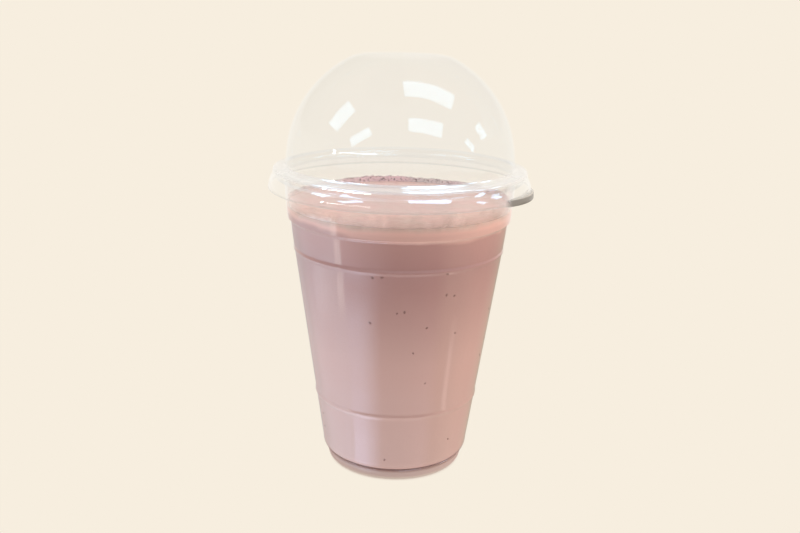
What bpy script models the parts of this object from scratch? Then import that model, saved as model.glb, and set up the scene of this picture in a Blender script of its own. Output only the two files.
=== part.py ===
"""Strawberry banana smoothie in a clear take-away cup with a shut dome lid.

The cup, the lid and the drink are turned about Z. The foot stands on z = 0, and a small
pull tab sticks out of the lid's skirt on the right, a little towards the front.
"""

import math

import bpy

MM = 0.001
FACETS = 60          # flat sides round every turned piece
TOUCH_GAP = 0.3      # left between pieces that touch, mm

# Cup, in millimetres
CUP_WALL = 0.5
RIM_RADIUS = 49.0
RIM_TOP = 121.3
BEAD_RADIUS = 1.9
COLLAR_TOP_RADIUS, COLLAR_TOP = 45.2, 117.9
COLLAR_FOOT_RADIUS, COLLAR_FOOT = 44.1, 102.6
BODY_TOP_RADIUS, BODY_TOP = 43.0, 101.4
BODY_FOOT_RADIUS, BODY_FOOT = 29.9, 9.0
RIB_HEIGHTS = (90.0, 29.5)
RIB_BULGE, RIB_HALF_HEIGHT = 0.35, 1.5
HEEL_RADIUS, HEEL_BOTTOM = 28.3, 5.2
GROOVE_RADIUS, GROOVE_HEIGHT = 27.6, 4.9
FOOT_RADIUS, FOOT_TOP = 28.0, 4.4
CONTACT_OUTER_RADIUS, CONTACT_INNER_RADIUS = 25.9, 24.3
RECESS_RADIUS = 26.9
FLOOR_TOP, FLOOR_UNDERSIDE = 5.7, 4.9

# Lid, in millimetres
LID_WALL = 0.5
LID_TOP = 164.5
DOME_RADIUS, DOME_CENTRE = 44.5, 123.7
DOME_EDGE_ROUND = 1.2
DOME_SEAT_RADIUS, DOME_SEAT = 44.9, 122.7
SHOULDER_CENTRE_RADIUS, SHOULDER_CENTRE = 46.2, 117.4
SHOULDER_REACH, SHOULDER_RISE = 5.0, 4.9
SKIRT_FOOT = 114.3
SKIRT_FLARE, SKIRT_FLARE_HEIGHT = 0.2, 1.1

# Pull tab on the skirt, in millimetres and degrees
TAB_AZIMUTH = -26.0
TAB_REACH = 53.7
TAB_CURVE_RADIUS = 25.0
TAB_ROOT_RADIUS = 50.95
TAB_BOTTOM, TAB_TOP = 114.0, 115.4
TAB_EDGE = 0.4
TAB_SIDES = 96

# Drink, in millimetres
DRINK_CENTRE_HEIGHT = 106.9
DRINK_EDGE_HEIGHT = 107.3
MENISCUS_WIDTH = 7.0


def mix(low, high, share):
    """The value a share of the way from low to high."""
    return low + (high - low) * share


def ellipse_arc(centre, reach, rise, start, end, steps):
    """Points (radius, height) on an ellipse, between two angles in degrees."""
    angles = [math.radians(mix(start, end, i / steps)) for i in range(steps + 1)]
    return [(centre[0] + reach * math.cos(a), centre[1] + rise * math.sin(a)) for a in angles]


def rib(height):
    """How far the ribs push the wall out at a height."""
    bulge = 0.0
    for centre in RIB_HEIGHTS:
        offset = abs(height - centre) / RIB_HALF_HEIGHT
        if offset < 1.0:
            bulge += RIB_BULGE * math.cos(offset * math.pi / 2) ** 2
    return bulge


def wall_radius(height):
    """Outer radius of the cup's wall, from the heel up to the collar's top."""
    if height >= COLLAR_FOOT:
        share = (height - COLLAR_FOOT) / (COLLAR_TOP - COLLAR_FOOT)
        return mix(COLLAR_FOOT_RADIUS, COLLAR_TOP_RADIUS, share)
    if height >= BODY_TOP:
        share = (height - BODY_TOP) / (COLLAR_FOOT - BODY_TOP)
        return mix(BODY_TOP_RADIUS, COLLAR_FOOT_RADIUS, share)
    share = (height - BODY_FOOT) / (BODY_TOP - BODY_FOOT)
    return mix(BODY_FOOT_RADIUS, BODY_TOP_RADIUS, share) + rib(height)


def wall_heights(top):
    """Heights at which the wall bends, from the heel up to top."""
    heights = [BODY_FOOT, BODY_TOP, COLLAR_FOOT, top]
    for centre in RIB_HEIGHTS:
        heights += [centre + RIB_HALF_HEIGHT * step / 2 for step in (-2, -1, 0, 1, 2)]
    return sorted(heights)


def heel(inset, bottom):
    """The rounded heel below the wall, from its bottom up to the wall, set in from outside."""
    reach = BODY_FOOT_RADIUS - HEEL_RADIUS
    centre = (HEEL_RADIUS - inset, BODY_FOOT)
    return ellipse_arc(centre, reach, BODY_FOOT - bottom, -90, 0, 4)


def cup_profile():
    """Inside of the floor, up the inner wall, over the rim, down outside and under the foot."""
    wall = [(wall_radius(z), z) for z in wall_heights(COLLAR_TOP)]
    inner_wall = [(r - CUP_WALL, z) for r, z in wall[1:]]
    bead = (RIM_RADIUS - BEAD_RADIUS, RIM_TOP - BEAD_RADIUS)
    lip_reach = bead[0] - (COLLAR_TOP_RADIUS - CUP_WALL)
    lip = ellipse_arc(bead, lip_reach, BEAD_RADIUS, 180, 90, 3)
    roll = ellipse_arc(bead, BEAD_RADIUS, BEAD_RADIUS, 60, -150, 7)
    foot = ellipse_arc(
        (CONTACT_OUTER_RADIUS, FOOT_TOP), FOOT_RADIUS - CONTACT_OUTER_RADIUS, FOOT_TOP, 0, -90, 4
    )
    return [
        (0.0, FLOOR_TOP),
        *heel(CUP_WALL, FLOOR_TOP),
        *inner_wall,
        *lip,
        *roll,
        *reversed(wall[1:]),
        *reversed(heel(0.0, HEEL_BOTTOM)),
        (GROOVE_RADIUS, GROOVE_HEIGHT),
        *foot,
        (CONTACT_INNER_RADIUS, 0.0),
        (RECESS_RADIUS, FLOOR_UNDERSIDE),
        (0.0, FLOOR_UNDERSIDE),
    ]


def dome(inset):
    """The dome from its flat top down to its seat, set in from outside."""
    radius = DOME_RADIUS - inset
    top = LID_TOP - inset
    edge = math.degrees(math.asin((top - DOME_EDGE_ROUND / 2 - DOME_CENTRE) / radius))
    flat_radius = math.sqrt(radius**2 - (top - DOME_CENTRE) ** 2) - DOME_EDGE_ROUND
    arc = ellipse_arc((0.0, DOME_CENTRE), radius, radius, edge, 0, 12)
    return [(flat_radius, top), *arc]


def shoulder(inset):
    """The lid's rounded shoulder over the cup's rim and its flared skirt, set in from outside."""
    centre = (SHOULDER_CENTRE_RADIUS, SHOULDER_CENTRE)
    arc = ellipse_arc(centre, SHOULDER_REACH - inset, SHOULDER_RISE - inset, 90, 0, 6)
    side = SHOULDER_CENTRE_RADIUS + SHOULDER_REACH - inset
    skirt = [
        (side, SKIRT_FOOT + SKIRT_FLARE_HEIGHT),
        (side + SKIRT_FLARE, SKIRT_FOOT),
    ]
    return [(DOME_SEAT_RADIUS - inset, DOME_SEAT - inset), *arc, *skirt]


def lid_profile():
    """Over the dome, down the skirt, and back up the inside."""
    outside = dome(0.0) + shoulder(0.0)
    inside = dome(LID_WALL) + shoulder(LID_WALL)
    return [(0.0, LID_TOP), *outside, *reversed(inside), (0.0, LID_TOP - LID_WALL)]


def drink_profile():
    """The drink's surface, its meniscus, and its side a gap inside the cup's wall."""
    inset = CUP_WALL + TOUCH_GAP
    side = [(wall_radius(z) - inset, z) for z in wall_heights(DRINK_EDGE_HEIGHT)]
    edge_radius = side[-1][0]
    surface = [
        (0.0, DRINK_CENTRE_HEIGHT),
        (edge_radius - MENISCUS_WIDTH, DRINK_CENTRE_HEIGHT),
        (edge_radius - MENISCUS_WIDTH / 3, mix(DRINK_CENTRE_HEIGHT, DRINK_EDGE_HEIGHT, 0.3)),
    ]
    bottom = FLOOR_TOP + TOUCH_GAP
    return [*surface, *reversed(side[1:]), *reversed(heel(inset, bottom)), (0.0, bottom)]


def turned(name, profile, collection):
    """A closed solid turned about Z from a profile in millimetres that runs down its outer side."""
    mesh = bpy.data.meshes.new(name)
    points = [(r * MM, 0.0, z * MM) for r, z in profile]
    mesh.from_pydata(points, [(i, i + 1) for i in range(len(points) - 1)], [])
    piece = bpy.data.objects.new(name, mesh)
    collection.objects.link(piece)
    screw = piece.modifiers.new("Turn", "SCREW")
    screw.axis = "Z"
    screw.angle = math.tau
    screw.steps = screw.render_steps = FACETS
    screw.use_merge_vertices = True
    screw.merge_threshold = 0.00001
    screw.use_smooth_shade = True
    return piece


def cylinder(name, radius, bottom, top, centre, sides, collection):
    """A closed cylinder between two heights, in millimetres, centred on a point of the plane."""
    bpy.ops.mesh.primitive_cylinder_add(
        vertices=sides,
        radius=radius * MM,
        depth=(top - bottom) * MM,
        location=(centre[0] * MM, centre[1] * MM, (bottom + top) / 2 * MM),
    )
    piece = bpy.context.object
    piece.name = name
    for other in piece.users_collection:
        other.objects.unlink(piece)
    collection.objects.link(piece)
    return piece


def boolean(piece, operation, tool):
    """Joins or cuts a piece with a tool, which is then only a guide."""
    modifier = piece.modifiers.new(tool.name, "BOOLEAN")
    modifier.operation = operation
    modifier.solver = "EXACT"
    modifier.object = tool
    tool.hide_render = True
    tool.display_type = "WIRE"


def add_tab(lid, cutters):
    """Joins the crescent-shaped pull tab to the lid's skirt."""
    azimuth = math.radians(TAB_AZIMUTH)
    reach = TAB_REACH - TAB_CURVE_RADIUS
    centre = (reach * math.cos(azimuth), reach * math.sin(azimuth))
    tab = cylinder(
        "tab_blank", TAB_CURVE_RADIUS, TAB_BOTTOM, TAB_TOP, centre, TAB_SIDES, cutters
    )
    bevel = tab.modifiers.new("Edge", "BEVEL")
    bevel.width = TAB_EDGE * MM
    bevel.segments = 2
    core = cylinder(
        "tab_core", TAB_ROOT_RADIUS, TAB_BOTTOM - 1.0, TAB_TOP + 1.0, (0.0, 0.0), FACETS, cutters
    )
    boolean(tab, "DIFFERENCE", core)
    boolean(lid, "UNION", tab)


def material(name, colour, roughness, alpha=1.0, transmission=0.0):
    """A plain Principled material."""
    made = bpy.data.materials.new(name)
    made.use_nodes = True
    shader = made.node_tree.nodes["Principled BSDF"]
    shader.inputs["Base Color"].default_value = (*colour, 1.0)
    shader.inputs["Roughness"].default_value = roughness
    shader.inputs["Metallic"].default_value = 0.0
    shader.inputs["Alpha"].default_value = alpha
    shader.inputs["Transmission Weight"].default_value = transmission
    made.diffuse_color = (*colour, alpha)
    return made


def build():
    for old in list(bpy.data.objects):
        bpy.data.objects.remove(old)
    parts = bpy.data.collections.new("strawberry_banana_smoothie")
    cutters = bpy.data.collections.new("cutters")
    for collection in (parts, cutters):
        bpy.context.scene.collection.children.link(collection)

    cup = turned("cup", cup_profile(), parts)
    cup.data.materials.append(material("clear_cup", (0.9, 0.91, 0.9), 0.06, 0.3, 1.0))

    lid = turned("lid", lid_profile(), parts)
    lid.data.materials.append(material("clear_lid", (0.92, 0.93, 0.93), 0.05, 0.25, 1.0))
    add_tab(lid, cutters)

    smoothie = turned("smoothie", drink_profile(), parts)
    smoothie.data.materials.append(material("pink_drink", (0.6, 0.33, 0.3), 0.35))


build()
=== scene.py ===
"""Strawberry banana smoothie in a clear take-away cup with a shut dome lid.

The looks of the cup, the drink and the lid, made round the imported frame. Lengths are in metres
and angles in degrees.
"""

import math
import random

import bpy
from mathutils import Matrix, Vector, noise


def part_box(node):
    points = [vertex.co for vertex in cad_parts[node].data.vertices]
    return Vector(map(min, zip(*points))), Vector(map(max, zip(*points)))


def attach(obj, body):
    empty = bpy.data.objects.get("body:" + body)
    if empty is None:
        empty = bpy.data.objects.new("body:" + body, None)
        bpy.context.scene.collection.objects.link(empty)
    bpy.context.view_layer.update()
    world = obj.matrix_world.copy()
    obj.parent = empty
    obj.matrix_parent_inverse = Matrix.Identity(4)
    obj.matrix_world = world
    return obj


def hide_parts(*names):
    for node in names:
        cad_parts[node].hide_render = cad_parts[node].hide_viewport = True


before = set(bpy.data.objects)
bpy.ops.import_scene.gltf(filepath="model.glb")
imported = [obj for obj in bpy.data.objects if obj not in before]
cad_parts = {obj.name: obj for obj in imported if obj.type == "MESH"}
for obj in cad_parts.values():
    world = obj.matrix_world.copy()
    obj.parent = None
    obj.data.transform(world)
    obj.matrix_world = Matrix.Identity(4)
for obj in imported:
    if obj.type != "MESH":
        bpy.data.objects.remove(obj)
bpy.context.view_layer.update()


# The cup is one thin sheet of clear plastic, drawn down into a mould. Its rim is rolled outwards,
# a step and two ribs stiffen the wall, and the foot is a narrow ring below a groove. The foot is
# thicker and cloudy, with a dark band of painted shade at the groove, and the rolled rim mirrors
# less than the wall.

MM = 0.001
cup_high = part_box("cup")[1]
CUP_WALL = 0.5 * MM
RIM_RADIUS, RIM_TOP = cup_high[0], cup_high[2]
BEAD_RADIUS = 1.9 * MM
COLLAR_TOP_RADIUS, COLLAR_TOP = 45.2 * MM, 117.9 * MM
COLLAR_FOOT_RADIUS, COLLAR_FOOT = 44.1 * MM, 102.6 * MM
BODY_TOP_RADIUS, BODY_TOP = 43.0 * MM, 101.4 * MM
BODY_FOOT_RADIUS, BODY_FOOT = 29.9 * MM, 9.0 * MM
STEP_EDGE = 0.4 * MM
RIB_HEIGHTS = (90.0 * MM, 29.5 * MM)
RIB_BULGE, RIB_HALF_HEIGHT = 0.35 * MM, 1.5 * MM
HEEL_RADIUS, HEEL_BOTTOM = 28.3 * MM, 5.2 * MM
GROOVE_RADIUS, GROOVE_HEIGHT = 27.6 * MM, 4.9 * MM
FOOT_RADIUS, FOOT_TOP = 28.0 * MM, 4.4 * MM
CONTACT_OUTER_RADIUS, CONTACT_INNER_RADIUS = 25.9 * MM, 24.3 * MM
RECESS_RADIUS = 26.9 * MM
FLOOR_TOP, FLOOR_UNDERSIDE = 5.7 * MM, 4.9 * MM
BODY_RINGS, BAND_RINGS, HALF_RIB_RINGS = 10, 4, 5
TURN_STEPS = 180  # a multiple of the frame's own sides, so that both have the same reach
SKIN_WELD, SMOOTH_ANGLE = 0.004 * MM, 38

CUP_TINT, CUP_FLOW, RIM_GLOSS = (0.99, 0.99, 0.99), 0.25 * MM, 0.4
# The groove's colour is painted shade: a dark band on the foot's cloud where the groove falls into
# shadow.
FOOT_CLOUD, FOOT_EDGE, GROOVE_PAINTED_SHADE = (0.57, 0.42, 0.39), (0.66, 0.57, 0.49), (0.38, 0.23, 0.205)
FOOT_CLOUDINESS = 0.85
# A zone is a pair of places: its share goes from 0 at the first to 1 at the second.
CLOUDY_ZONE, EDGE_ZONE = (5.3 * MM, 4.6 * MM), (2.2 * MM, 0.6 * MM)
GROOVE_SHADE_ZONE, RIM_ZONE = (3.5 * MM, 4.3 * MM), (117.5 * MM, 118.5 * MM)
# A pattern is its ripples to the metre, its detail and its roughness.
DRAW_LINES, GRAIN, WARP = (70, 2, 0.5), (300, 2, 0.5), (90, 3, 0.5)
DRAWN_DOWN, GRAIN_SHARE = (1, 1, 0.08), 0.04
# The share that the plastic mirrors head-on, and the power by which it rises towards edge-on.
MIRROR_HEAD_ON, MIRROR_RISE = 0.04, 5
MIRROR_SMOOTHEST, MIRROR_ROUGHEST, CLOUD_ROUGHNESS = 0.003, 0.015, 0.3


def mix(low, high, share):
    """The value a share of the way from low to high."""
    return low + (high - low) * share


def rings(low, high, count):
    """Even heights above low, up to high."""
    return [mix(low, high, i / count) for i in range(1, count + 1)]


def ellipse_arc(centre, reach, rise, start, end, steps):
    """Points (radius, height) on an ellipse, between two angles."""
    angles = [math.radians(mix(start, end, i / steps)) for i in range(steps + 1)]
    return [(centre[0] + reach * math.cos(a), centre[1] + rise * math.sin(a)) for a in angles]


def wall_radius(height):
    """Outer radius of the cup's wall at a height above the heel."""
    if height >= COLLAR_FOOT:
        share = (height - COLLAR_FOOT) / (COLLAR_TOP - COLLAR_FOOT)
        return mix(COLLAR_FOOT_RADIUS, COLLAR_TOP_RADIUS, share)
    if height >= BODY_TOP:
        share = (height - BODY_TOP) / (COLLAR_FOOT - BODY_TOP)
        return mix(BODY_TOP_RADIUS, COLLAR_FOOT_RADIUS, share)
    radius = mix(BODY_FOOT_RADIUS, BODY_TOP_RADIUS, (height - BODY_FOOT) / (BODY_TOP - BODY_FOOT))
    for rib in RIB_HEIGHTS:
        offset = abs(height - rib) / RIB_HALF_HEIGHT
        if offset < 1:
            radius += RIB_BULGE * math.cos(offset * math.pi / 2) ** 2
    return radius


def wall(inset, top):
    """Points on the cup's wall from the heel up to a height, set in from its outer face."""
    heights = [BODY_FOOT, *rings(BODY_FOOT, BODY_TOP, BODY_RINGS)]
    heights += rings(BODY_TOP, COLLAR_FOOT, BAND_RINGS)
    heights += rings(COLLAR_FOOT, top, BAND_RINGS)
    for rib in RIB_HEIGHTS:
        for i in range(-HALF_RIB_RINGS, HALF_RIB_RINGS + 1):
            heights.append(rib + RIB_HALF_HEIGHT * i / HALF_RIB_RINGS)
    heights += [BODY_TOP - STEP_EDGE, COLLAR_FOOT + STEP_EDGE]
    return [(wall_radius(z) - inset, z) for z in sorted(set(heights)) if z <= top]


def heel(inset, bottom):
    """The rounded heel from its bottom up to the wall, set in from its outer face."""
    centre, reach = (HEEL_RADIUS - inset, BODY_FOOT), BODY_FOOT_RADIUS - HEEL_RADIUS
    return ellipse_arc(centre, reach, BODY_FOOT - bottom, start=-90, end=0, steps=10)


def turn(name, profile):
    """Draws a profile with extrude, point after point, and spins it round Z into a closed skin."""
    bpy.ops.object.select_all(action="DESELECT")
    bpy.ops.mesh.primitive_plane_add(size=MM)
    piece = bpy.context.object
    piece.name = piece.data.name = name
    bpy.ops.object.mode_set(mode="EDIT")
    bpy.ops.mesh.select_all(action="SELECT")
    bpy.ops.mesh.merge(type="CENTER")
    start = Vector((profile[0][0], 0, profile[0][1]))
    bpy.ops.transform.translate(value=start)
    for (r0, z0), (r1, z1) in zip(profile, profile[1:]):
        bpy.ops.mesh.extrude_vertices_move(
            TRANSFORM_OT_translate={"value": (r1 - r0, 0, z1 - z0)}
        )
    bpy.ops.mesh.select_all(action="SELECT")
    bpy.ops.mesh.spin(steps=TURN_STEPS, angle=math.tau, center=(0, 0, 0), axis=(0, 0, 1))
    bpy.ops.mesh.select_all(action="SELECT")
    bpy.ops.mesh.remove_doubles(threshold=SKIN_WELD)
    bpy.ops.mesh.normals_make_consistent(inside=False)
    bpy.ops.object.mode_set(mode="OBJECT")
    bpy.ops.object.shade_smooth_by_angle(angle=math.radians(SMOOTH_ANGLE))
    return piece


bead = (RIM_RADIUS - BEAD_RADIUS, RIM_TOP - BEAD_RADIUS)
lip_reach = bead[0] - COLLAR_TOP_RADIUS
curl_inside = BEAD_RADIUS - CUP_WALL
contact, foot_reach = (CONTACT_OUTER_RADIUS, FOOT_TOP), FOOT_RADIUS - CONTACT_OUTER_RADIUS
# Up the inside, over the lip, round the curl and back inside it, then down the outside to the foot.
cup = turn(
    "cup_skin",
    [
        (0, FLOOR_TOP),
        *heel(CUP_WALL, FLOOR_TOP),
        *wall(CUP_WALL, COLLAR_TOP)[1:],
        *ellipse_arc(bead, lip_reach + CUP_WALL, BEAD_RADIUS, start=180, end=90, steps=8),
        *ellipse_arc(bead, BEAD_RADIUS, BEAD_RADIUS, start=80, end=-150, steps=22),
        *ellipse_arc(bead, curl_inside, curl_inside, start=-150, end=90, steps=18),
        *ellipse_arc(bead, lip_reach, curl_inside, start=100, end=180, steps=6),
        *reversed(wall(0, COLLAR_TOP)[1:]),
        *reversed(heel(0, HEEL_BOTTOM)),
        (GROOVE_RADIUS, GROOVE_HEIGHT),
        *ellipse_arc(contact, foot_reach, FOOT_TOP, start=0, end=-90, steps=10),
        (CONTACT_INNER_RADIUS, 0),
        (RECESS_RADIUS, FLOOR_UNDERSIDE),
        (0, FLOOR_UNDERSIDE),
    ],
)


class Wire:
    """An output socket, on which plain arithmetic adds Math nodes."""

    def __init__(self, nodes, socket):
        self.nodes, self.socket = nodes, socket

    def pick(self, name):
        """Another output of the same node."""
        return Wire(self.nodes, self.socket.node.outputs[name])

    def math(self, operation, *values):
        return self.nodes.add("ShaderNodeMath", {"operation": operation}, *values)

    def alone(self, operation):
        """A Math node that works on this value alone."""
        return self.math(operation, self)

    def __add__(self, other):
        return self.math("ADD", self, other)

    def __sub__(self, other):
        return self.math("SUBTRACT", self, other)

    def __rsub__(self, other):
        return self.math("SUBTRACT", other, self)

    def __mul__(self, other):
        return self.math("MULTIPLY", self, other)

    def __truediv__(self, other):
        return self.math("DIVIDE", self, other)

    def __rtruediv__(self, other):
        return self.math("DIVIDE", other, self)

    def __or__(self, other):
        """The larger of the two."""
        return self.math("MAXIMUM", self, other)

    __radd__, __rmul__, __ror__ = __add__, __mul__, __or__

    def clamped(self):
        return self.nodes.add("ShaderNodeClamp", {}, self)

    def ramp(self, zone):
        """0 up to the zone and 1 past it, with a straight change between."""
        start, end = zone
        return ((self - start) / (end - start)).clamped()


class Nodes:
    """The nodes of a material or a world, and the one way that they are added."""

    FIRST_COLOUR, SECOND_COLOUR, MIXED_COLOUR = 6, 7, 2  # sockets of a Mix node, which share names

    def __init__(self, owner):
        self.owner = owner
        owner.use_nodes = True
        self.tree = owner.node_tree
        self.tree.nodes.clear()

    def add(self, kind, settings, *values, **named):
        """Adds a node with its settings, then the values or wires of its sockets."""
        made = self.tree.nodes.new(kind)
        for key, value in settings.items():
            setattr(made, key, value)
        pairs = [(made.inputs[i], value) for i, value in enumerate(values)]
        pairs += [(made.inputs[key.replace("_", " ")], value) for key, value in named.items()]
        for socket, value in pairs:
            self.join(socket, value)
        return Wire(self, made.outputs[0]) if made.outputs else None

    def join(self, socket, value):
        """Sets a socket to a wire, a number, a colour or a vector."""
        if isinstance(value, Wire):
            self.tree.links.new(value.socket, socket)
        elif socket.type == "RGBA":
            socket.default_value = (*value[:3], 1)
        elif socket.type != "SHADER":
            socket.default_value = value

    def place(self):
        """The place on the object."""
        return self.add("ShaderNodeTexCoord", {}).pick("Object")

    def split(self, vector):
        """A vector's parts, of which X comes first."""
        return self.add("ShaderNodeSeparateXYZ", {}, vector)

    def noise(self, pattern, at=None):
        """Smooth noise from 0 to 1, of a pattern, at the place on the object or another."""
        scale, detail, rough = pattern
        at = at or self.place()
        sockets = {"Vector": at, "Scale": scale, "Detail": detail, "Roughness": rough}
        return self.add("ShaderNodeTexNoise", {}, **sockets).pick("Fac")

    def stretched(self, scale):
        """The place on the object, stretched along its axes."""
        return self.add("ShaderNodeMapping", {}, Vector=self.place(), Scale=scale)

    def colour(self, share, first, second):
        """A colour between two, by a share."""
        mixer = self.add("ShaderNodeMix", {"data_type": "RGBA"}, share).socket.node
        self.join(mixer.inputs[self.FIRST_COLOUR], first)
        self.join(mixer.inputs[self.SECOND_COLOUR], second)
        return Wire(self, mixer.outputs[self.MIXED_COLOUR])

    def bump(self, height, distance, strength=1.0):
        return self.add("ShaderNodeBump", {}, Height=height, Distance=distance, Strength=strength)

    def show(self, shader):
        """Ends the nodes with the shader that shows."""
        kind = "World" if isinstance(self.owner, bpy.types.World) else "Material"
        self.add("ShaderNodeOutput" + kind, {}, Surface=shader)
        return self.owner


def clear_plastic(sheet, tint, flow, gloss, extra_sheen, cloudy, cloud):
    """Thin clear plastic that mirrors more when seen edge-on, and is cloudy where it is thick. The
    cloud's colour can carry painted light and shade, and a cloudy share can stand for painted sheen.
    """
    lines = sheet.noise(DRAW_LINES, sheet.stretched(DRAWN_DOWN))
    ripple = sheet.bump(lines + sheet.noise(GRAIN) * GRAIN_SHARE, flow)
    edge_on = sheet.add("ShaderNodeLayerWeight", {}, Blend=0.5, Normal=ripple).pick("Facing")
    sheen = mix(MIRROR_HEAD_ON, 1, edge_on.math("POWER", edge_on, MIRROR_RISE)) * gloss
    mirror = sheet.add(
        "ShaderNodeBsdfPrincipled",
        {},
        Base_Color=(1, 1, 1),
        Metallic=1.0,
        Roughness=mix(MIRROR_SMOOTHEST, MIRROR_ROUGHEST, sheet.noise(WARP)),
        Normal=ripple,
    )
    clear = sheet.add("ShaderNodeBsdfTransparent", {}, Color=tint)
    thick = sheet.add("ShaderNodeBsdfPrincipled", {}, Base_Color=cloud, Roughness=CLOUD_ROUGHNESS)
    thin = sheet.add("ShaderNodeMixShader", {}, sheen | extra_sheen, clear, mirror)
    return sheet.show(sheet.add("ShaderNodeMixShader", {}, cloudy, thin, thick))


def finished(piece, material, node):
    """Gives a piece its material, and lets it stand for a node of the frame where it has one."""
    piece.data.materials.append(material)
    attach(piece, "root")
    if node:
        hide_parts(node)


sheet = Nodes(bpy.data.materials.new("cup_plastic"))
height = sheet.split(sheet.place()).pick("Z")
foot = height.ramp(CLOUDY_ZONE) * FOOT_CLOUDINESS
# Painted shade: the foot's cloud darkens to a dark band at the groove above the ring.
foot_cloud_and_groove_shade = sheet.colour(height.ramp(EDGE_ZONE), FOOT_CLOUD, FOOT_EDGE)
foot_cloud_and_groove_shade = sheet.colour(height.ramp(GROOVE_SHADE_ZONE), foot_cloud_and_groove_shade, GROOVE_PAINTED_SHADE)
gloss = mix(1, RIM_GLOSS, height.ramp(RIM_ZONE))
cup_plastic = clear_plastic(sheet, CUP_TINT, CUP_FLOW, gloss, 0, foot, foot_cloud_and_groove_shade)
finished(cup, cup_plastic, "cup")


# The drink is strawberries and banana blended thick with milk. It fills the cup to the collar,
# where it climbs a little up the wall, and its top is a pale froth of fine bubbles. Its colour is
# painted darker towards the collar and lighter low down as painted shade and light, and the band
# above the step is painted lighter still, with a painted glow just under the froth.

DRINK_OVERLAP, FLOOR_OVERLAP = 0.35 * MM, 0.1 * MM  # into the cup, so that no air shows between
DRINK_INSET = CUP_WALL - DRINK_OVERLAP
DRINK_CENTRE, DRINK_EDGE, DRINK_TOP_GAP = 106.9 * MM, 107.3 * MM, 0.05 * MM
LEVEL_RINGS, CLIMB_RINGS = 40, 6
FROTH_RELIEF, FROTH_DEPTH, FROTH_REACH, FROTH_FADE = 0.35 * MM, 0.1 * MM, 0.99, 4 * MM
FROTH_LUMPS, FROTH_DIMPLES, DIMPLE_SHARE = 90, 260, 0.5

# Painted shade and light: the low colours are lighter and the upper and top colours darker, for
# shade under the lid and light bounced up from the table.
LOW, MIDDLE, SHADED_TOP = (0.60, 0.387, 0.357), (0.635, 0.388, 0.353), (0.56, 0.312, 0.29)
SHADED_UPPER, SHADED_UPPER_PULP = (0.49, 0.265, 0.252), (0.515, 0.286, 0.27)
# Painted light: the collar band above the step is lighter, with a brighter painted glow band just
# under the froth.
LIT_COLLAR, COLLAR_GLOW = (0.79, 0.48, 0.425), (0.88, 0.54, 0.475)
FROTH, FROTH_BUBBLE = (0.69, 0.48, 0.415), (0.765, 0.575, 0.50)
MIDDLE_ZONE, SHADED_UPPER_ZONE, SHADED_TOP_ZONE = (12 * MM, 46 * MM), (52 * MM, 89 * MM), (91 * MM, 99 * MM)
COLLAR_LIGHT_ZONE, FROTH_ZONE = (101.9 * MM, 103.7 * MM), (107.2 * MM, 109.6 * MM)
COLLAR_LIGHT_WAVE, FROTH_WAVE = 3 * MM, 4 * MM
LEFT_ZONE, LEFT_DROP = (0, -32 * MM), 3.5 * MM
COLLAR_GLOW_FOOT, COLLAR_GLOW_END = (103.9 * MM, 105.2 * MM), (107.0 * MM, 106.5 * MM)
PULP, PULP_ZONE, CLOUDS = (38, 4, 0.6), (0.3, 0.7), (95, 2, 0.5)
FLECKS, FLECK_ZONE, POCKS, POCK_SHARE = (420, 2, 0.6), (0.35, 0.65), (1400, 1, 0.5), 0.5
BUBBLE_RELIEF, BUBBLE_STRENGTH = 0.12 * MM, 0.6
DRINK_ROUGHNESS, FROTH_ROUGHNESS, DRINK_SHINE = 0.5, 0.75, 0.2

drink_floor = FLOOR_TOP - FLOOR_OVERLAP
level_radius = wall_radius(DRINK_EDGE) - CUP_WALL - DRINK_TOP_GAP
flat_rings = LEVEL_RINGS - CLIMB_RINGS
level = [(level_radius * i / LEVEL_RINGS, DRINK_CENTRE) for i in range(flat_rings + 1)]
climb_centre = (level_radius * flat_rings / LEVEL_RINGS, DRINK_EDGE)
climb_reach, climb_rise = level_radius * CLIMB_RINGS / LEVEL_RINGS, DRINK_EDGE - DRINK_CENTRE
# Out along the level, up to the wall, then down it and round the heel to the floor.
drink = turn(
    "drink",
    [
        *level,
        *ellipse_arc(climb_centre, climb_reach, climb_rise, start=-75, end=0, steps=CLIMB_RINGS),
        *reversed(wall(DRINK_INSET, DRINK_EDGE)[:-1]),
        *reversed(heel(DRINK_INSET, drink_floor)),
        (0, drink_floor),
    ],
)
for vertex in drink.data.vertices:
    reach = math.hypot(vertex.co.x, vertex.co.y)
    if vertex.co.z > DRINK_CENTRE - FROTH_DEPTH and reach < level_radius * FROTH_REACH:
        lumps = noise.noise(vertex.co * FROTH_LUMPS)
        lumps += DIMPLE_SHARE * noise.noise(vertex.co * FROTH_DIMPLES)
        vertex.co.z += FROTH_RELIEF * lumps * min(1, (level_radius - reach) / FROTH_FADE)

blend = Nodes(bpy.data.materials.new("smoothie"))
spot = blend.split(blend.place())
east, height = spot.pick("X"), spot.pick("Z")
flecks, clouds = blend.noise(FLECKS), blend.noise(CLOUDS)
# Painted shade: the body darkens from the low colours towards the collar.
shaded_upper = blend.colour(blend.noise(PULP).ramp(PULP_ZONE), SHADED_UPPER, SHADED_UPPER_PULP)
low = blend.colour(height.ramp(MIDDLE_ZONE), LOW, MIDDLE)
body = blend.colour(height.ramp(SHADED_UPPER_ZONE), low, shaded_upper)
body = blend.colour(height.ramp(SHADED_TOP_ZONE), body, SHADED_TOP)
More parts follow.
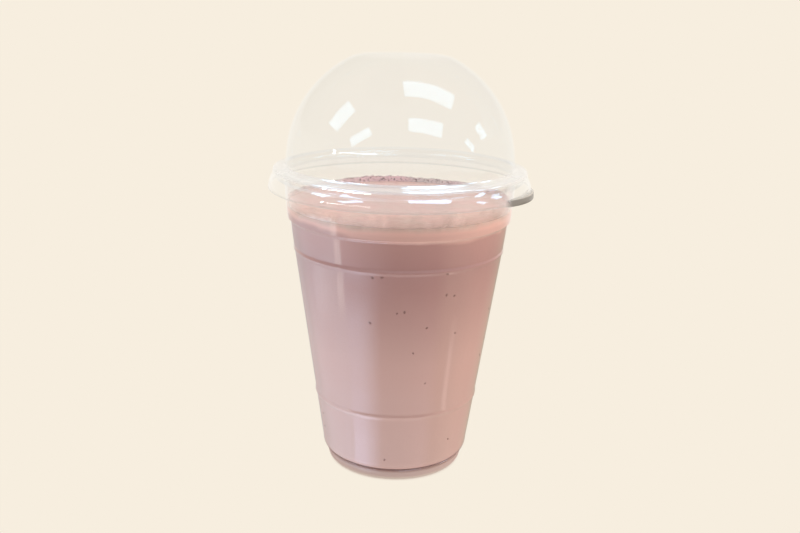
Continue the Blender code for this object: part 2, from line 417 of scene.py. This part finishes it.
# Painted light: above a wavy line near the step, lower on the left, the collar is painted lighter,
# with a painted glow under the froth.
collar_light_line = height + clouds * COLLAR_LIGHT_WAVE - east.ramp(LEFT_ZONE) * LEFT_DROP
collar_glow = height.ramp(COLLAR_GLOW_FOOT) * height.ramp(COLLAR_GLOW_END)
lit_collar = blend.colour(collar_glow, LIT_COLLAR, COLLAR_GLOW)
body = blend.colour(collar_light_line.ramp(COLLAR_LIGHT_ZONE), body, lit_collar)
frothy = (height + clouds * FROTH_WAVE).ramp(FROTH_ZONE)
froth = blend.colour(flecks.ramp(FLECK_ZONE), FROTH, FROTH_BUBBLE)
bubbles = flecks + blend.noise(POCKS) * POCK_SHARE
skin = blend.add(
    "ShaderNodeBsdfPrincipled",
    {},
    Base_Color=blend.colour(frothy, body, froth),
    Roughness=mix(DRINK_ROUGHNESS, FROTH_ROUGHNESS, frothy),
    Specular_IOR_Level=DRINK_SHINE,
    Normal=blend.bump(bubbles, BUBBLE_RELIEF, BUBBLE_STRENGTH),
)
finished(drink, blend.show(skin), "smoothie")


# Strawberry seeds are caught in the blend. The ones that touch the wall show through it as small
# dark specks.

SEED_LENGTH, SEED_WIDTH, SEED_DEPTH = 1.3 * MM, 0.9 * MM, 0.34 * MM
SEED_SMALLEST, SEED_LARGEST = 0.7, 1.1
# Azimuth, 0 in front and 90 on the right, and height in millimetres.
FRONT_SEEDS = (
    (-13, 87.9), (-8, 88.3), (26, 89.2), (27, 80.7), (32, 79.9), (0, 74.2), (4, 74.7),
    (-15, 69.7), (17, 67.9), (36, 64.1), (10, 57.7), (19, 44.4), (44, 16.2), (-7, 10.3),
)
BACK_SEEDS, BACK_FROM, BACK_TO, BACK_LOWEST, BACK_HIGHEST = 30, 62, 298, 12, 96
SCATTER = 7  # starts the draws, so that every run scatters the seeds alike
HUSK, HUSK_DARK, HUSK_PALE = (900, 2, 0.5), (0.22, 0.10, 0.085), (0.36, 0.19, 0.165)
HUSK_ROUGHNESS = 0.6

draw = random.Random(SCATTER)
seed_places = [(azimuth, z * MM) for azimuth, z in FRONT_SEEDS]
for _ in range(BACK_SEEDS):
    azimuth = draw.uniform(BACK_FROM, BACK_TO)
    seed_places.append((azimuth, draw.uniform(BACK_LOWEST, BACK_HIGHEST) * MM))

bpy.ops.object.select_all(action="DESELECT")
seeds = []
for azimuth, z in seed_places:
    turn_by = math.radians(azimuth - 90)
    reach = wall_radius(z) - DRINK_INSET
    size = draw.uniform(SEED_SMALLEST, SEED_LARGEST)
    bpy.ops.mesh.primitive_ico_sphere_add(subdivisions=2, radius=0.5)
    seed = bpy.context.object
    grow = Matrix.Diagonal((SEED_DEPTH, SEED_WIDTH * size, SEED_LENGTH * size, 1))
    tilt = Matrix.Rotation(draw.uniform(0, math.pi), 4, "X")
    at = Vector((reach * math.cos(turn_by), reach * math.sin(turn_by), z))
    seed.data.transform(Matrix.Translation(at) @ Matrix.Rotation(turn_by, 4, "Z") @ tilt @ grow)
    seeds.append(seed)
for seed in seeds:
    seed.select_set(True)
bpy.context.view_layer.objects.active = seeds[0]
bpy.ops.object.join()
seeds = bpy.context.object
seeds.name = seeds.data.name = "seeds"
bpy.ops.object.shade_smooth()

husk = Nodes(bpy.data.materials.new("seeds"))
husk_shade = husk.colour(husk.noise(HUSK), HUSK_DARK, HUSK_PALE)
husk_skin = husk.add("ShaderNodeBsdfPrincipled", {}, Base_Color=husk_shade, Roughness=HUSK_ROUGHNESS)
finished(seeds, husk.show(husk_skin), None)


# A film of the drink clings to the collar above the level, where it splashed and ran back. It is
# thin and patchy, thickest low down, and speckled with bubbles at the back.

FILM_THICKNESS, FILM_GAP, FILM_RINGS = 0.12 * MM, 0.01 * MM, 24
FILM_FOOT, FILM_TOP = 106.6 * MM, 117.6 * MM
FILM_PINK = (0.67, 0.465, 0.41)
FOAM_PINK, FOAM_GREY, FOAM_BUBBLE = (1.0, 0.78, 0.81), (0.90, 0.82, 0.80), (0.34, 0.24, 0.24)
BLOTCHES, RUNS, SPECKLE, RUN_DOWN = (75, 3, 0.55), (170, 1, 0.5), (1100, 2, 0.7), (1, 1, 0.2)
BACK_ZONE = (-20 * MM, 35 * MM)
# How far up the film reaches, in millimetres, with its blotches, runs and speckle at their most.
FRONT_BLOTCH, FRONT_RUN, FRONT_ZONE, FRONT_COVER = 8, 3, (0.5, 5.5), 0.4
BACK_BLOTCH, BACK_SPECKLE, BACK_LEAST, BACK_EDGE_ZONE, BACK_COVER = 2.5, 1.4, 1.0, (0, 0.6), 0.9
BUBBLE_ZONE, BUBBLE_BLOTCH, BUBBLE_FOOT_ZONE = (0.53, 0.60), 2, (0.8, 2.6)
FOAM_ZONE = (0.42, 0.58)
FILM_ROUGHNESS, FILM_RELIEF, FILM_STRENGTH = 0.4, 0.1 * MM, 0.5

film_heights = [FILM_FOOT, *rings(FILM_FOOT, FILM_TOP, FILM_RINGS)]
film_outer = [(wall_radius(z) - CUP_WALL - FILM_GAP, z) for z in film_heights]
film_inner = [(r - FILM_THICKNESS, z) for r, z in film_outer]
film = turn("wall_film", [*reversed(film_outer), *film_inner, film_outer[-1]])

smear = Nodes(bpy.data.materials.new("wall_film"))
spot = smear.split(smear.place())
back = spot.pick("Y").ramp(BACK_ZONE)
rise = (spot.pick("Z") - FILM_FOOT) / MM
blotches, speckle = smear.noise(BLOTCHES), smear.noise(SPECKLE)
runs = smear.noise(RUNS, smear.stretched(RUN_DOWN))
front_patch = (blotches * FRONT_BLOTCH + runs * FRONT_RUN - rise).ramp(FRONT_ZONE) * FRONT_COVER
back_patch = blotches * BACK_BLOTCH + speckle * BACK_SPECKLE + BACK_LEAST - rise
back_patch = back_patch.ramp(BACK_EDGE_ZONE) * BACK_COVER
bubbles = speckle.ramp(BUBBLE_ZONE) * (rise + blotches * BUBBLE_BLOTCH).ramp(BUBBLE_FOOT_ZONE)
foam = smear.colour(blotches.ramp(FOAM_ZONE), FOAM_GREY, FOAM_PINK)
film_skin = smear.add(
    "ShaderNodeBsdfPrincipled",
    {},
    Base_Color=smear.colour(back, FILM_PINK, smear.colour(bubbles, foam, FOAM_BUBBLE)),
    Roughness=FILM_ROUGHNESS,
    Alpha=back_patch * back + front_patch * (1 - back),
    Normal=smear.bump(speckle, FILM_RELIEF, FILM_STRENGTH),
)
finished(film, smear.show(film_skin), None)


# The lid is moulded from the same clear sheet: a dome with a flat top, a round shoulder that
# covers the rim, and a flared skirt with a small tab to pull it off by. The shoulder's top carries a
# whitish haze, partly haze and mostly painted sheen, strongest on the near side. The tab is cloudy,
# painted lighter on top and darker on its sides, and the dome and the far half mirror less than
# the near side of the shoulder.

lid_low, lid_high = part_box("lid")
LID_WALL = 0.5 * MM
LID_TOP = lid_high[2]
DOME_RADIUS, DOME_CENTRE = 44.5 * MM, 123.7 * MM
DOME_EDGE_ROUND, DOME_FILLET = 1.2 * MM, 1.6 * MM
LEDGE, LEDGE_RADIUS, LEDGE_CURVE = 121.7 * MM, 48.65 * MM, 0.85 * MM
BARREL_FOOT, BARREL_CURVE = 115.2 * MM, 9.3 * MM
BARREL_FOOT_LEAN, BARREL_TOP_LEAN, SIDE_LEAN = 8, 33, 12  # how far the shoulder leans in
SKIRT_FLARE, SKIRT_FLARE_HEIGHT = 0.2 * MM, 1.1 * MM
SKIRT_RADIUS = lid_high[1] - SKIRT_FLARE
SKIRT_FOOT = lid_low[2]
TAB_AZIMUTH = -26
TAB_REACH, TAB_CURVE_RADIUS, TAB_ROOT_RADIUS = 53.7 * MM, 25 * MM, 50.95 * MM
TAB_BOTTOM, TAB_TOP, TAB_EDGE = 113.5 * MM, 116.3 * MM, 0.5 * MM
TAB_SIDES, TAB_EDGE_STEPS = 288, 4

LID_TINT, LID_FLOW, DOME_GLOSS = (0.987, 0.993, 1.0), 0.06 * MM, 0.3
# The tab's colours are painted light and shade: lighter on its upward faces and dark on its sides.
TAB_LIT_TOP, TAB_SHADED_SIDE, TAB_CLOUDINESS = (0.50, 0.46, 0.41), (0.16, 0.14, 0.117), 0.85
# The shoulder's haze is partly haze and mostly painted sheen: a whitish cloud that stands for the
# bright room mirrored on the near side.
HAZE_AND_SHEEN, SHOULDER_HAZE_AND_SHEEN, SHOULDER_SHEEN, FAR_SHOULDER = (0.80, 0.79, 0.78), 0.45, 0.4, 0.05
SHOULDER_FOOT, SHOULDER_END = (120.3 * MM, 120.8 * MM), (123.3 * MM, 122.6 * MM)
SHOULDER_UPWARD, SHOULDER_NEAR = (0, 0.3), (10 * MM, -35 * MM)
DOME_ZONE, FAR_ZONE = (122.5 * MM, 124 * MM), (-5 * MM, 20 * MM)
TAB_ZONE, TAB_SHADE_ZONE, TAB_UPWARD = (51.2 * MM, 52.2 * MM), (0, 0.05), (0.1, 0.7)


def lid_side(inset):
    """The lid from its flat top down to the foot of the skirt, set in from its outer face."""
    radius, top = DOME_RADIUS - inset, LID_TOP - inset
    edge = math.degrees(math.asin((top - DOME_EDGE_ROUND / 2 - DOME_CENTRE) / radius))
    flat = math.sqrt(radius**2 - (top - DOME_CENTRE) ** 2) - DOME_EDGE_ROUND
    side, curve, bulge = SKIRT_RADIUS - inset, LEDGE_CURVE - inset, BARREL_CURVE - inset
    fillet, fillet_centre = DOME_FILLET + inset, (DOME_RADIUS + DOME_FILLET, LEDGE + DOME_FILLET)
    ledge_centre = (LEDGE_RADIUS, LEDGE - LEDGE_CURVE)
    lean = math.radians(BARREL_FOOT_LEAN)
    barrel_radius = SKIRT_RADIUS - BARREL_CURVE * math.cos(lean)
    barrel_centre = (barrel_radius, BARREL_FOOT - BARREL_CURVE * math.sin(lean))
    return [
        (flat, top),
        *ellipse_arc((0, DOME_CENTRE), radius, radius, start=edge, end=2, steps=32),
        *ellipse_arc(fillet_centre, fillet, fillet, start=180, end=270, steps=12),
        *ellipse_arc(ledge_centre, curve, curve, start=90, end=SIDE_LEAN, steps=12),
        *ellipse_arc(barrel_centre, bulge, bulge, BARREL_TOP_LEAN, BARREL_FOOT_LEAN, steps=12),
        (side, SKIRT_FOOT + SKIRT_FLARE_HEIGHT),
        (side + SKIRT_FLARE, SKIRT_FOOT),
    ]


def disc(name, radius, bottom, top, centre, sides):
    """A closed disc between two heights."""
    bpy.ops.object.select_all(action="DESELECT")
    bpy.ops.mesh.primitive_cylinder_add(vertices=sides, radius=radius, depth=top - bottom)
    made = bpy.context.object
    made.name = name
    made.data.transform(Matrix.Translation((*centre, (bottom + top) / 2)))
    return made


def apply_boolean(piece, operation, tool):
    """Joins or cuts a piece with another, which is then removed."""
    bpy.ops.object.select_all(action="DESELECT")
    piece.select_set(True)
    bpy.context.view_layer.objects.active = piece
    boolean = piece.modifiers.new(tool.name, "BOOLEAN")
    boolean.operation, boolean.object = operation, tool
    bpy.ops.object.modifier_apply(modifier=boolean.name)
    bpy.data.objects.remove(tool)


# Out over the top and down the outside to the foot of the skirt, then back up the inside.
lid_outer, lid_inner = lid_side(0), lid_side(LID_WALL)
lid = turn("dome_lid", [(0, LID_TOP), *lid_outer, *reversed(lid_inner), (0, LID_TOP - LID_WALL)])
tab_turn = math.radians(TAB_AZIMUTH)
tab_reach = TAB_REACH - TAB_CURVE_RADIUS
tab_centre = (tab_reach * math.cos(tab_turn), tab_reach * math.sin(tab_turn))
tab = disc("tab", TAB_CURVE_RADIUS, TAB_BOTTOM, TAB_TOP, tab_centre, TAB_SIDES)
rounding = tab.modifiers.new("Edge", "BEVEL")
rounding.width, rounding.segments = TAB_EDGE, TAB_EDGE_STEPS
bpy.ops.object.modifier_apply(modifier=rounding.name)
core = disc("core", TAB_ROOT_RADIUS, TAB_BOTTOM - MM, TAB_TOP + MM, (0, 0), TURN_STEPS)
apply_boolean(tab, "DIFFERENCE", core)
apply_boolean(lid, "UNION", tab)
bpy.ops.object.mode_set(mode="EDIT")
bpy.ops.mesh.select_all(action="SELECT")
bpy.ops.mesh.remove_doubles(threshold=SKIN_WELD)
bpy.ops.mesh.dissolve_degenerate(threshold=SKIN_WELD)
bpy.ops.object.mode_set(mode="OBJECT")
bpy.ops.object.shade_smooth_by_angle(angle=math.radians(SMOOTH_ANGLE))

sheet = Nodes(bpy.data.materials.new("lid_plastic"))
spot = sheet.split(sheet.place())
east, north, height = spot.pick("X"), spot.pick("Y"), spot.pick("Z")
reach = (east * east + north * north).alone("SQRT")
upward = sheet.split(sheet.add("ShaderNodeTexCoord", {}).pick("Normal")).pick("Z")
outer = 1 - sheet.add("ShaderNodeNewGeometry", {}).pick("Backfacing")
# Painted sheen: the whitish haze on the shoulder's top is strongest on the near side and fades to
# the back.
shoulder = height.ramp(SHOULDER_FOOT) * height.ramp(SHOULDER_END)
shoulder *= upward.ramp(SHOULDER_UPWARD) * outer * mix(FAR_SHOULDER, 1, north.ramp(SHOULDER_NEAR))
on_tab = reach.ramp(TAB_ZONE)
# Painted light and shade: the tab's cloud is lighter where it faces up and dark on its sides.
tab_painted_shading = sheet.colour(upward.ramp(TAB_UPWARD), TAB_SHADED_SIDE, TAB_LIT_TOP)
shade = sheet.colour(on_tab.ramp(TAB_SHADE_ZONE), HAZE_AND_SHEEN, tab_painted_shading)
cloudy = on_tab * TAB_CLOUDINESS | shoulder * SHOULDER_HAZE_AND_SHEEN
gloss = mix(1, DOME_GLOSS, height.ramp(DOME_ZONE) | north.ramp(FAR_ZONE))
sheen = shoulder * SHOULDER_SHEEN
lid_plastic = clear_plastic(sheet, LID_TINT, LID_FLOW, gloss, sheen, cloudy, shade)
finished(lid, lid_plastic, "lid")


# The stage is a pale table and backdrop of one colour, seen with no edge between them. The table
# glows. The cup mirrors a table that is bright only close to it in front, with a white-edged pale
# sheet and its spill of light on the left and a narrow strip of light on the right, in a room dimmer
# in front, all painted light in the table's glow. Under the cup's foot the table is painted dark as
# a painted shadow of the cup.

TABLE_SIZE = 8
# The colour under the cup is a painted shadow of the cup on the table.
PALE, CUP_PAINTED_SHADOW = (0.930, 0.855, 0.738), (0.40, 0.26, 0.235)
LIT_NEAR, LIT_FAR = (1.13, 1.08, 1.02), (0.72, 0.69, 0.65)
FRONT_NEAR, FRONT_FAR = (1.5, 1.5, 1.45), (0.14, 0.15, 0.13)
RIGHT_NEAR, RIGHT_HIGH, RIGHT_FAR = (0.80, 0.88, 0.64), (0.85, 0.68, 0.52), (0.48, 0.43, 0.33)
STRIP = (2.3, 2.2, 1.9)
SPILL_NEAR, SPILL, SPILL_FAR = (3.8, 4.5, 5.8), (2.8, 3.4, 4.2), (1.8, 1.85, 2.1)
SHEET, SHEET_FAR, SHEET_BORDER = (2.5, 3.15, 3.75), (3.0, 3.6, 4.0), (4.5, 4.9, 5.1)
SHEET_SIDE, SHEET_EDGE, BEYOND = (0.66, 0.80, 0.85), (0.60, 0.55, 0.53), (0.80, 0.75, 0.70)
ROOM_FRONT, ROOM_BACK, ROOM_TOP = (0.86, 0.88, 0.94), (1.0, 0.95, 0.87), (0.62, 0.60, 0.60)
SOFT_FRONT, SOFT_BACK = (0.42, 0.415, 0.41), (1.0, 0.97, 0.93)
# A spot of the table shows on the cup's wall at its facing: 0 in front and 90 on the right. The
# further off the spot is, the nearer to the middle it shows.
FACING_FALL, FACING_START = 2.15, 31 * MM
FACING_RIGHT, FACING_FAR_RIGHT = (20, 28), (40, 56)
FACING_STRIP, STRIP_SIDE = 34.5, (2.8, 0.8)
FACING_SPILL_NEAR, FACING_SPILL_FAR = (-9, -21), (-2, -30)
FACING_SHEET, FACING_BORDER, FACING_SHEET_FAR = (-28.6, -30.6), (-34, -33), (-54, -44)
FACING_SHEET_BRIGHT, FACING_SHEET_SIDE = (-63, -35), (-74, -64)
# Distances from the cup's axis.
SHADOW_ZONE, MIRRORED_SHADOW_ZONE, LIT_ZONE = (27.5 * MM, 24 * MM), (36 * MM, 29 * MM), (0.26, 0.06)
FRONT_GLOW, RIGHT_HIGH_ZONE = (0.17, 0.07), (0.17, 0.23)
STRIP_START, STRIP_END = (0.060, 0.074), (0.150, 0.110)
SPILL_START, SPILL_FADE = (0.05, 0.09), (0.14, 0.20)
SPILL_SPREAD, SPILL_END = (0.14, 0.18), (0.36, 0.30)
BORDER_START, SHEET_FAR_START, SHEET_FAR_END = (0.14, 0.17), (0.135, 0.175), (0.225, 0.200)
SHEET_SLANT, SHEET_END = 1.9 * MM, (0.266, 0.278)
NEAR_TABLE_END, TABLE_END = (0.35, 0.40), (0.4, 0.6)
# Directions: 1 is straight to the front on the table, and back, up or to the right in the room.
BEHIND, ROUND_THE_SIDE = (-0.2, -0.6), (0.3, -0.3)
ROOM_SIDE, SOFT_ZONE = (-0.5, 0.1), (-1, 1)
OVERHEAD, OVERHEAD_LEFT = (0.86, 0.93), (0.1, 0)


def seen_mirrored_or_lit(nodes, seen, mirrored, lit):
    """Shows one colour to the eye, one to reflections and one to what it lights."""
    rays = nodes.add("ShaderNodeLightPath", {})
    unscattered = 1 - rays.pick("Diffuse Depth").clamped()
    eye = (rays.pick("Is Camera Ray") | rays.pick("Is Transmission Ray")) * unscattered
    mirrors = rays.pick("Glossy Depth").clamped() * unscattered
    return nodes.colour(mirrors, nodes.colour(eye, lit, seen), mirrored)


bpy.ops.object.select_all(action="DESELECT")
bpy.ops.mesh.primitive_plane_add(size=TABLE_SIZE)
floor = bpy.context.object
floor.name = "floor"

table = Nodes(bpy.data.materials.new("pale_table"))
spot = table.split(table.place())
east, north = spot.pick("X"), spot.pick("Y")
radius = (east * east + north * north).alone("SQRT")
in_front = (0 - north) / (radius + MM)
azimuth = east.math("ARCTAN2", east, 0 - north) * math.degrees(1)
facing = azimuth * radius / (radius * FACING_FALL - FACING_START)

right = table.colour(radius.ramp(RIGHT_HIGH_ZONE), RIGHT_NEAR, RIGHT_HIGH)
right = table.colour(facing.ramp(FACING_FAR_RIGHT), right, RIGHT_FAR)
strip = (facing - FACING_STRIP).alone("ABSOLUTE").ramp(STRIP_SIDE)
strip *= radius.ramp(STRIP_START) * radius.ramp(STRIP_END)
right = table.colour(strip, right, STRIP)

middle = table.colour(radius.ramp(FRONT_GLOW), FRONT_FAR, FRONT_NEAR)
middle = table.colour(facing.ramp(FACING_RIGHT), middle, right)
spill = table.colour(radius.ramp(SPILL_START), SPILL_NEAR, SPILL)
spill = table.colour(radius.ramp(SPILL_FADE), spill, SPILL_FAR)
spread = radius.ramp(SPILL_SPREAD)
spilled = facing.ramp(FACING_SPILL_NEAR) * (1 - spread) + facing.ramp(FACING_SPILL_FAR) * spread
middle = table.colour(spilled * radius.ramp(SPILL_END), middle, spill)

left = table.colour(facing.ramp(FACING_SHEET_SIDE), SHEET_EDGE, SHEET_SIDE)
left = table.colour(facing.ramp(FACING_SHEET_BRIGHT), left, SHEET)
sheet_far = facing.ramp(FACING_SHEET_FAR) * radius.ramp(SHEET_FAR_START) * radius.ramp(SHEET_FAR_END)
left = table.colour(sheet_far, left, SHEET_FAR)
left = table.colour(facing.ramp(FACING_BORDER) * radius.ramp(BORDER_START), left, SHEET_BORDER)
left = table.colour((radius + facing * SHEET_SLANT).ramp(SHEET_END), left, BEYOND)

near_table = table.colour(facing.ramp(FACING_SHEET), middle, left)
behind = in_front.ramp(BEHIND) * radius.ramp(NEAR_TABLE_END)
near_table = table.colour(behind, near_table, ROOM_BACK)
far_table = table.colour(in_front.ramp(ROUND_THE_SIDE), ROOM_FRONT, ROOM_BACK)
mirrored = table.colour(radius.ramp(TABLE_END), near_table, far_table)
# Painted shadow: the table is dark under the cup's foot, both mirrored and seen.
mirrored = table.colour(radius.ramp(MIRRORED_SHADOW_ZONE), mirrored, CUP_PAINTED_SHADOW)
lit = table.colour(radius.ramp(LIT_ZONE), LIT_FAR, LIT_NEAR)
seen = table.colour(radius.ramp(SHADOW_ZONE), PALE, CUP_PAINTED_SHADOW)
glow = seen_mirrored_or_lit(table, seen, mirrored, lit)
floor.data.materials.append(table.show(table.add("ShaderNodeEmission", {}, Color=glow)))
floor.visible_shadow = False

world = bpy.data.worlds.new("pale_studio")
bpy.context.scene.world = world
studio = Nodes(world)
toward = studio.split(studio.add("ShaderNodeTexCoord", {}).pick("Generated"))
depth = toward.pick("Y")
room = studio.colour(depth.ramp(ROOM_SIDE), ROOM_FRONT, ROOM_BACK)
overhead = toward.pick("Z").ramp(OVERHEAD) * toward.pick("X").ramp(OVERHEAD_LEFT)
room = studio.colour(overhead, room, ROOM_TOP)
soft = studio.colour(depth.ramp(SOFT_ZONE), SOFT_FRONT, SOFT_BACK)
air = seen_mirrored_or_lit(studio, PALE, room, soft)
studio.show(studio.add("ShaderNodeBackground", {}, Color=air))


# Windows above and beside the cup and two small lamps show only as glints on the plastic. The
# pale studio lights the drink, with a wide soft light overhead, a cool one on the left and a warm
# one on the right, and none of these three is mirrored.

TARGET = Vector((0, 0, 0.12))
DAY, COOL, WARM, NEUTRAL = (0.43, 0.74, 1.0), (0.90, 0.94, 1.0), (1.0, 0.80, 0.64), (1.0, 0.97, 0.94)
DAYLIGHT = 8.5
# Azimuth, elevation, roll, width, height, radiance and colour of each.
MIRRORED_LAMPS = {
    "roof_window": (76.5, 68.7, 21, 0.327, 0.708, DAYLIGHT, DAY),
    "high_window": (30, 41.2, -19, 0.573, 0.24, DAYLIGHT, DAY),
    "left_window": (-78, 37.6, -7, 0.257, 0.381, DAYLIGHT, DAY),
    "left_front_window": (-44, 28.2, -48, 0.149, 0.37, DAYLIGHT, DAY),
    "right_window": (94.4, 21.2, 10, 0.159, 0.187, DAYLIGHT, DAY),
    "right_low_window": (74.1, 16.6, 34, 0.094, 0.188, DAYLIGHT, DAY),
    "small_lamp": (-67.2, 9.9, 0, 0.05, 0.05, 50.0, NEUTRAL),
    "thin_lamp": (-43, 13.5, 6.5, 0.68, 0.012, 28.0, NEUTRAL),
}
SOFT_LIGHTS = {
    "overhead_light": (0, 89, 0, 0.9, 0.9, 1.5, NEUTRAL),
    "left_light": (-100, 8, 0, 0.8, 0.8, 1.2, COOL),
    "right_light": (90, 8, 0, 0.8, 0.8, 2.4, WARM),
}


def lamp(name, azimuth, elevation, roll, width, height, radiance, colour, mirrored):
    """A lamp that faces the lid from 1 m. Azimuth 0 is in front and 90 on the right."""
    side, up = math.radians(azimuth), math.radians(elevation)
    outward = Vector((math.cos(up) * math.sin(side), -math.cos(up) * math.cos(side), math.sin(up)))
    across = Vector((math.cos(side), math.sin(side), 0))
    upright = Matrix((across, outward.cross(across), outward)).transposed()
    turned = upright @ Matrix.Rotation(math.radians(roll), 3, "Z")
    bpy.ops.object.light_add(type="AREA", location=TARGET + outward, rotation=turned.to_euler())
    made = bpy.context.object
    made.name = name
    made.data.shape = "RECTANGLE"
    made.data.size, made.data.size_y = width, height
    made.data.energy = radiance * math.pi * width * height
    made.data.color = colour
    made.visible_camera = False
    made.visible_glossy = made.visible_transmission = mirrored
    made.visible_diffuse = not mirrored


for name, values in MIRRORED_LAMPS.items():
    lamp(name, *values, mirrored=True)
for name, values in SOFT_LIGHTS.items():
    lamp(name, *values, mirrored=False)


# The camera looks at the cup from the front and a little above, turned slightly on its own axis.

CAMERA_DISTANCE, CAMERA_HEIGHT = 0.375, 0.1885
CAMERA_PITCH, CAMERA_ROLL, CAMERA_TURN = 16.0, 1.3, 0.12
PICTURE_WIDTH, FOCAL_PIXELS = 800, 969
SENSOR_MM = 36
BOUNCES = 32

aim = Matrix.Rotation(math.radians(-CAMERA_TURN), 3, "Z")
aim @= Matrix.Rotation(math.radians(90 - CAMERA_PITCH), 3, "X")
aim @= Matrix.Rotation(math.radians(CAMERA_ROLL), 3, "Z")
bpy.ops.object.camera_add(location=(0, -CAMERA_DISTANCE, CAMERA_HEIGHT), rotation=aim.to_euler())
camera = bpy.context.object
camera.data.sensor_width = SENSOR_MM
camera.data.lens = SENSOR_MM * FOCAL_PIXELS / PICTURE_WIDTH
bpy.context.scene.camera = camera

bpy.context.scene.view_settings.view_transform = "Standard"
bpy.context.scene.cycles.max_bounces = BOUNCES
bpy.context.scene.cycles.transmission_bounces = BOUNCES
bpy.context.scene.cycles.transparent_max_bounces = BOUNCES


bpy.context.view_layer.update()
